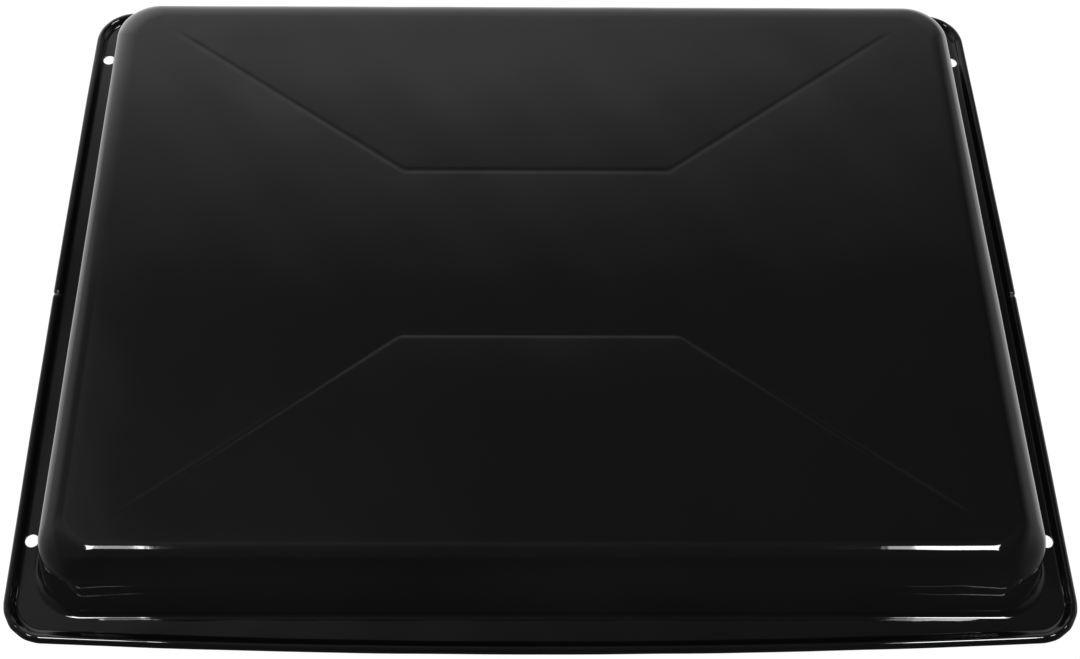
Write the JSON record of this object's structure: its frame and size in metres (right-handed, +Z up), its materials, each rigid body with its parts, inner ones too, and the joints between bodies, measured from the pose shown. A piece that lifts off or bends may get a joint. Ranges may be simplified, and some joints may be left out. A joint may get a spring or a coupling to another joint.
{
  "type": "roof vent cover",
  "caption": "Shallow gloss-black pressed steel roof vent cover with a wired rim, corner screw holes, pressed crown grooves and a louvred, screened rear wall.",
  "frame": {"origin": "on the roof plane (the underside of the foam seal strips), under the middle of the cover's bounding box", "axes": "+X across the cover along its long side, +Y towards the louvred rear wall, +Z up away from the roof"},
  "size_m": [0.6124, 0.4714, 0.0533],
  "materials": {
    "enamel": "gloss",
    "retainer_paint": "satin",
    "wire_steel": "zinc plated",
    "screen_steel": "woven stainless",
    "rivet_aluminium": "plain",
    "seal_foam": "matt closed-cell foam"
  },
  "bodies": {
    "root": {"cover_pan": "enamel", "rim_wire_front": "wire_steel", "rim_wire_rear": "wire_steel", "insect_screen": "screen_steel", "screen_retainer": "retainer_paint", "screen_rivet_1": "rivet_aluminium", "screen_rivet_2": "rivet_aluminium", "screen_rivet_3": "rivet_aluminium", "screen_rivet_4": "rivet_aluminium", "screen_rivet_5": "rivet_aluminium", "screen_rivet_6": "rivet_aluminium", "screen_rivet_7": "rivet_aluminium", "screen_rivet_8": "rivet_aluminium", "seal_strip_front": "seal_foam", "seal_strip_rear": "seal_foam", "seal_strip_left": "seal_foam", "seal_strip_right": "seal_foam"}
  },
  "joints": []
}
